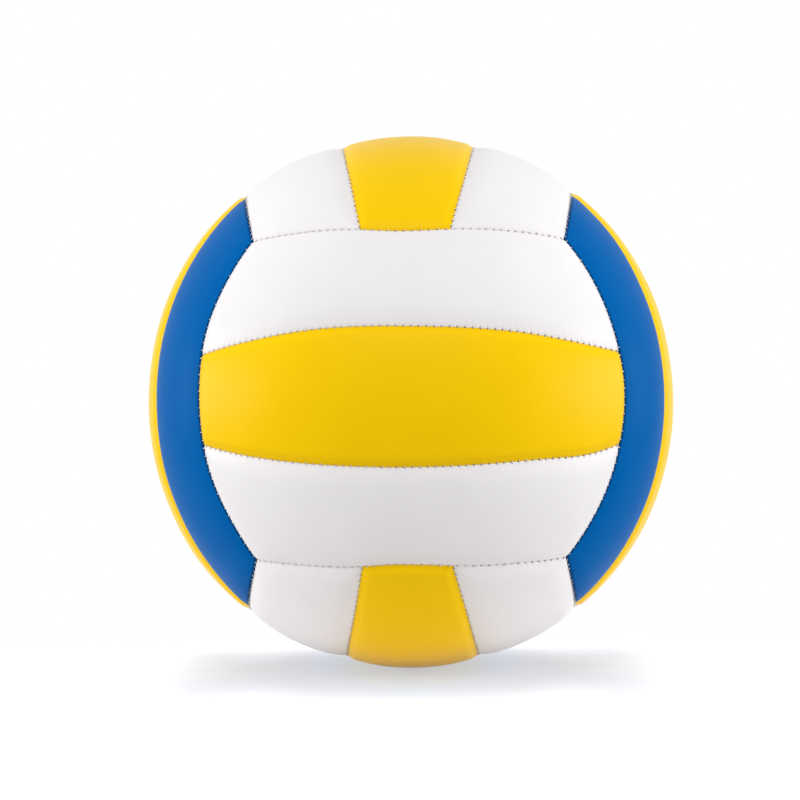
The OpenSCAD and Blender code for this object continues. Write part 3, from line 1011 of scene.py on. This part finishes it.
class StitchOperator(bpy.types.Operator):
    """Sew the seams: one thread in each, through the needle holes of both hems"""

    bl_idname = "volleyball.stitches"
    bl_label = "Stitches"

    def execute(self, context):
        settings = context.scene.volleyball
        seams, stitch = Seams(settings.ball), settings.stitch
        material = sewing_thread("bonded polyester thread", settings.finish.thread)
        strip_shares = (np.arange(stitch.strip_count) + 0.5) / stitch.strip_count
        strip_turns = mix(-1, 1, strip_shares) * seams.strip_turn
        breaks, counts = edge_stitches(seams, stitch)
        edge_turns = np.interp(np.arange(counts[-1]) + 0.5, counts, breaks)
        kinds = (
            ("strip_seam_stitches", "strip_seam_thread", seams.strip_seam, strip_turns),
            ("edge_seam_stitches", "edge_seam_thread", seams.outer_seam, edge_turns),
        )
        for name, node, seam, turns in kinds:
            curve = bpy.data.curves.new(name, "CURVE")
            curve.dimensions = "3D"
            curve.bevel_depth = stitch.thread / 2
            curve.bevel_resolution = 1
            curve.use_fill_caps = True
            # A small turn, which gives the seam's direction
            step = 1e-4
            for _face, face_turns, _strips in FACES:
                for side in (-1, 1):
                    matrix = place_matrix(face_turns, side)
                    points = seam(turns) @ matrix.T
                    along = unit((seam(turns + step) - seam(turns - step)) @ matrix.T)
                    aways = unit(np.cross(along, points))
                    path = np.array(stitched_seam(points, aways, stitch, seams.radius))
                    path = settled(path, settings.ball)
                    spline = curve.splines.new("POLY")
                    spline.points.add(len(path) - 1)
                    spline.points.foreach_set("co", np.c_[path, np.ones(len(path))].ravel())
            holder = bpy.data.objects.new(name + "_path", curve)
            context.scene.collection.objects.link(holder)
            evaluated = holder.evaluated_get(context.evaluated_depsgraph_get())
            mesh = bpy.data.meshes.new_from_object(evaluated)
            bpy.data.objects.remove(holder)
            bm = bmesh.new()
            bm.from_mesh(mesh)
            # The caps come loose from their tubes
            bmesh.ops.remove_doubles(bm, verts=bm.verts, dist=TINY)
            bmesh.ops.recalc_face_normals(bm, faces=bm.faces)
            bm.to_mesh(mesh)
            bm.free()
            piece(name, mesh, material, "thread", [node])
        return {"FINISHED"}


def turned_piece(name, profile, steps, ball, material, slot, node):
    """A piece that is turned round the valve's axis."""
    mesh = lathe(profile, steps)
    return piece(name, settle(mesh, coordinates(mesh), ball), material, slot, [node])


# Steps from the valve to the bladder's far end, and round the valve's own pieces
BLADDER_STEPS = 72
VALVE_STEPS = 96
# The width of the bladder's mould line, as an angle
MOULD_LINE = 0.01


class BladderOperator(bpy.types.Operator):
    """Turn the bladder, with the line that its mould leaves"""

    bl_idname = "volleyball.bladder"
    bl_label = "Bladder"

    def execute(self, context):
        settings = context.scene.volleyball
        layer, valve = settings.layer, settings.valve
        outer, inner = BLADDER_RADIUS, BLADDER_RADIUS - layer.bladder
        hole = valve.neck + valve.gap
        profile = []
        outside = range(BLADDER_STEPS + 1)
        for radius, ridge, order in ((outer, layer.ridge, outside), (inner, 0, reversed(outside))):
            start = math.asin(hole / radius)
            for i in order:
                turn = mix(start, math.pi, i / BLADDER_STEPS)
                out = radius + ridge * math.exp(-(((turn - math.pi / 2) / MOULD_LINE) ** 2))
                profile.append((out * math.sin(turn), out * math.cos(turn)))
        rubber = moulded_rubber("butyl rubber", settings.finish.bladder, 0.62, 1.8)
        shape = (profile, 2 * BLADDER_STEPS, settings.ball)
        turned_piece("bladder_shell", *shape, rubber, "bladder", "bladder")
        return {"FINISHED"}


class ValveOperator(bpy.types.Operator):
    """Turn the valve's body, core and patch, with moulded edges"""

    bl_idname = "volleyball.valve"
    bl_label = "Valve"

    def execute(self, context):
        settings = context.scene.volleyball
        valve, layer, finish = settings.valve, settings.layer, settings.finish
        face = VALVE_BODY_HIGH.y
        body_end = VALVE_BODY_LOW.y
        core_end = VALVE_CORE_LOW.y
        fit = valve.core_gap
        head_low = face - valve.head_thickness
        root_out = BLADDER_RADIUS - layer.bladder - layer.fit
        root_in = root_out - valve.root_thickness

        def dome(radius, reach):
            """The place along the axis of a sphere's surface at a distance from the axis."""
            return math.sqrt(radius**2 - reach**2)

        body = [
            (valve.core + fit, body_end),
            (valve.neck, body_end),
            (valve.neck, dome(root_in, valve.neck)),
            (valve.root, dome(root_in, valve.root)),
            (valve.root, dome(root_out, valve.root)),
            (valve.neck, dome(root_out, valve.neck)),
            (valve.neck, face),
            (valve.head + fit, face),
            (valve.head + fit, head_low - fit),
            (valve.core + fit, head_low - fit),
        ]
        core = [
            (0, core_end),
            (valve.core, core_end),
            (valve.core, head_low),
            (valve.head, head_low),
            (valve.head, face),
            (valve.mouth, face),
            (valve.channel, face - valve.mouth_depth),
            (valve.channel, face - valve.channel_depth),
            (0, face - valve.channel_depth),
        ]
        patch_in = BLADDER_RADIUS + layer.fit
        patch_out = LINING_RADIUS - layer.fit
        hole, rim = valve.neck + valve.gap, PATCH_RADIUS
        patch = [
            (hole, dome(patch_in, hole)),
            (rim, dome(patch_in, rim)),
            (rim, dome(patch_out, rim)),
            (hole, dome(patch_out, hole)),
        ]
        rubber = moulded_rubber("moulded valve rubber", finish.valve, 0.5, 1.5)
        dark = moulded_rubber("moulded core rubber", finish.core, 0.42, 1.4)
        for name, profile, material, slot, node in (
            ("valve_housing", rounded(body, valve.round), rubber, "valve_rubber", "valve_body"),
            ("valve_plug", rounded(core, valve.round), dark, "valve_core", "valve_core"),
            ("valve_ring", rounded(patch, valve.patch_round), rubber, "valve_rubber", "valve_patch"),
        ):
            turned_piece(name, profile, VALVE_STEPS, settings.ball, material, slot, node)
        return {"FINISHED"}


# Stage


# The soft boxes: name, place, width and height in metres, and which of the stage's powers each has
LAMPS = (
    ("left soft box", (-1.3, -0.05, 0.1), (1.1, 0.45), "side_power"),
    ("right soft box", (1.3, -0.05, 0.1), (1.1, 0.45), "side_power"),
    ("high soft box", (0, -1.22, 1.03), (1.6, 0.9), "high_power"),
)


def soft_box(name, place, size, power):
    """A rectangular lamp that faces the ball."""
    light = bpy.data.lights.new(name, "AREA")
    light.shape = "RECTANGLE"
    light.size, light.size_y = size
    light.energy = power
    made = bpy.data.objects.new(name, light)
    bpy.context.scene.collection.objects.link(made)
    made.location = place
    made.rotation_euler = (-Vector(place)).to_track_quat("-Z", "Y").to_euler()


def seen_ray(tree):
    """1 where the camera, gloss or glass sees a surface, and 0 for the light that the surface throws."""
    rays = add_node(tree, "LightPath").outputs
    seen = rays["Is Camera Ray"]
    for ray in ("Is Glossy Ray", "Is Transmission Ray"):
        seen = add_node(tree, "Math", [seen, rays[ray]], operation="MAXIMUM")
    return seen


# The board's colour under the ball's yellow front strip, with a painted cool tint against the yellow light
# that the strip throws on it, and elsewhere
BOARD_UNDER_STRIP = "#8FA2C8"
BOARD = "#92959E"
# How each axis counts in the distance for that colour and for the board's own light, and by what
# share of its depth a place behind the ball counts as further
STRIP_STRETCH = (1.6, 0.5, 1.0)
LIGHT_STRETCH = (0.95, 1.0, 1.0)
LIGHT_BEHIND = 0.36
# The distance over which that light grows to full white
LIGHT_RANGE = (0.12, 0.165)
# Amounts that change over the board: from and to where in metres, and the amounts there. The share of
# the plain colour, and how much of the light that falls on it the board throws back
PLAIN_COLOUR = (0.107, 0.135, 0.0, 1.0)
THROWN_LIGHT = (0.14, 0.36, 0.9, 0.3)
# The light that makes the shadow's two ends blunt, behind and before (-Y), and its shares to the
# sides and outwards
END_BEHIND = (0.0, 0.05, 0.03, -0.2)
END_BEFORE = (-0.09, -0.01, -0.39, 0.0)
END_BEGINS = (0.055, 0.09, 0.0, 1.0)
END_STOPS = (0.085, 0.125, 1.0, 0.0)
END_FADES = (0.15, 0.172, 1.0, 0.0)


def stretched_length(tree, place, stretch):
    """The distance from the ball's centre, with each axis counted by its own factor."""
    counted = add_node(tree, "VectorMath", [place, stretch], operation="MULTIPLY")
    return add_node(tree, "VectorMath", [counted], operation="LENGTH").outputs["Value"]


def floor_material(lift):
    """Matt white board. A little light of its own, which is only seen, keeps it white on a picture.

    It grows away from the ball, so that the board's edge doesn't show against the background.
    """
    material, tree, surface, place = new_material("matt white board")
    axes = add_node(tree, "SeparateXYZ", [place]).outputs
    side, depth = add_node(tree, "Math", [axes["X"]], operation="ABSOLUTE"), axes["Y"]
    behind = add_node(tree, "Math", [depth, 0.0], operation="MAXIMUM")
    further = add_node(tree, "Math", [behind, LIGHT_BEHIND], operation="MULTIPLY")
    around, from_strip = (
        stretched_length(tree, place, stretch) for stretch in (LIGHT_STRETCH, STRIP_STRETCH)
    )
    distance = add_node(tree, "Math", [around, further], operation="ADD")
    plain, white, rear, begins, stops, fades, thrown, front = (
        add_node(tree, "MapRange", [value, *amounts], interpolation_type=kind)
        for kind, value, amounts in (
            ("SMOOTHSTEP", from_strip, PLAIN_COLOUR),
            ("SMOOTHSTEP", distance, (*LIGHT_RANGE, lift, 1.0)),
            ("SMOOTHSTEP", depth, END_BEHIND),
            ("SMOOTHSTEP", side, END_BEGINS),
            ("SMOOTHSTEP", side, END_STOPS),
            ("SMOOTHSTEP", distance, END_FADES),
            ("LINEAR", distance, THROWN_LIGHT),
            ("LINEAR", depth, END_BEFORE),
        )
    )
    # A Mix node's inputs 6 and 7 are the two colours, and its output 2 is the mixed one
    # The cool tint under the strip is painted against the strip's yellow light
    tones = {0: plain, 6: (*linear(BOARD_UNDER_STRIP), 1), 7: (*linear(BOARD), 1)}
    board = add_node(tree, "Mix", tones, data_type="RGBA").outputs[2]
    seen = seen_ray(tree)
    shown = add_node(tree, "Mix", {0: seen, 6: thrown, 7: board}, data_type="RGBA").outputs[2]
    light = rear
    for operation, value in (
        ("ADD", front),
        ("MULTIPLY", begins),
        ("MULTIPLY", stops),
        ("MULTIPLY", fades),
        ("ADD", white),
        ("MULTIPLY", seen),
    ):
        light = add_node(tree, "Math", [light, value], operation=operation)
    tree.links.new(shown, surface.inputs["Base Color"])
    tree.links.new(light.outputs[0], surface.inputs["Emission Strength"])
    surface.inputs["Emission Color"].default_value = (1, 1, 1, 1)
    surface.inputs["Roughness"].default_value = 1.0
    surface.inputs["Specular IOR Level"].default_value = 0.0
    return material


def white_world(ambient):
    """Soft light from all round, and plain white where the camera, gloss and glass see it."""
    world = bpy.data.worlds.new("studio")
    world.use_nodes = True
    tree = world.node_tree
    tree.nodes.clear()
    strength = add_node(tree, "MapRange", [seen_ray(tree), 0.0, 1.0, ambient, 1.0])
    light = add_node(tree, "Background", {"Color": (1, 1, 1, 1), "Strength": strength})
    add_node(tree, "OutputWorld", {"Surface": light})
    bpy.context.scene.world = world


FLOOR_SIZE = 8.0
FLOOR_CELLS = 160


def floor_mesh(reach, tilt, crest):
    """A floor that touches the ball, which reaches that far down.

    It leans as the floor does under a ball that is rolled back on it, and levels off behind, so that
    it doesn't hide the ball from there.
    """
    bm = bmesh.new()
    bmesh.ops.create_grid(bm, x_segments=FLOOR_CELLS, y_segments=FLOOR_CELLS, size=FLOOR_SIZE / 2)
    slope = math.tan(tilt)
    for vert in bm.verts:
        behind = max(0.0, vert.co.y - crest)
        vert.co.z = min(vert.co.y, crest) * slope - reach / math.cos(tilt) - behind * slope
    return new_mesh(bm, "floor")


class StageOperator(bpy.types.Operator):
    """Set the camera, the soft boxes and the floor"""

    bl_idname = "volleyball.stage"
    bl_label = "Stage"

    def execute(self, context):
        scene = context.scene
        stage = scene.volleyball.stage
        turn = (
            Matrix.Rotation(stage.pitch, 3, "X")
            @ Matrix.Rotation(stage.yaw, 3, "Y")
            @ Matrix.Rotation(stage.roll, 3, "Z")
        ).transposed()
        data = bpy.data.cameras.new("camera")
        data.lens = stage.lens
        data.sensor_width = 36
        data.shift_x = -stage.shift_right
        data.shift_y = stage.shift_down
        data.clip_start, data.clip_end = 0.05, 50
        camera = bpy.data.objects.new("camera", data)
        scene.collection.objects.link(camera)
        # The camera looks along +Y of the turned frame, with its own -Z there
        camera.matrix_world = (turn @ Matrix.Rotation(math.pi / 2, 3, "X")).to_4x4()
        camera.location = turn @ Vector((0, -stage.distance, 0))
        scene.camera = camera
        mesh = floor_mesh(-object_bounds()[0].z, stage.floor_tilt, stage.floor_crest)
        mesh.materials.append(floor_material(stage.floor_lift))
        floor = bpy.data.objects.new("floor", mesh)
        scene.collection.objects.link(floor)
        floor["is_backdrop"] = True
        for name, place, size, power in LAMPS:
            soft_box(name, place, size, getattr(stage, power))
        white_world(stage.ambient)
        scene.view_settings.view_transform = "Standard"
        return {"FINISHED"}


PIECE_OPERATORS = (
    BladderOperator,
    ValveOperator,
    LiningOperator,
    PadOperator,
    SkinOperator,
    StitchOperator,
    StageOperator,
)


class VolleyballPanel(bpy.types.Panel):
    """The steps that build the volleyball, in order"""

    bl_idname = "VIEW3D_PT_volleyball"
    bl_label = "Volleyball"
    bl_space_type = "VIEW_3D"
    bl_region_type = "UI"
    bl_category = "Volleyball"

    def draw(self, context):
        for operator in PIECE_OPERATORS:
            self.layout.operator(operator.bl_idname)


CLASSES = (
    BallSizes,
    HemSizes,
    StitchSizes,
    LayerSizes,
    ValveSizes,
    Finishes,
    StageSizes,
    VolleyballSettings,
    *PIECE_OPERATORS,
    VolleyballPanel,
)


def register():
    """Registers the classes and the settings."""
    for cls in CLASSES:
        bpy.utils.register_class(cls)
    bpy.types.Scene.volleyball = PointerProperty(type=VolleyballSettings)


def unregister():
    """Takes them away again."""
    del bpy.types.Scene.volleyball
    for cls in reversed(CLASSES):
        bpy.utils.unregister_class(cls)


def main():
    """Builds the ball piece by piece."""
    register()
    for operator in PIECE_OPERATORS:
        group, name = operator.bl_idname.split(".")
        getattr(getattr(bpy.ops, group), name)()


if __name__ == "__main__":
    main()
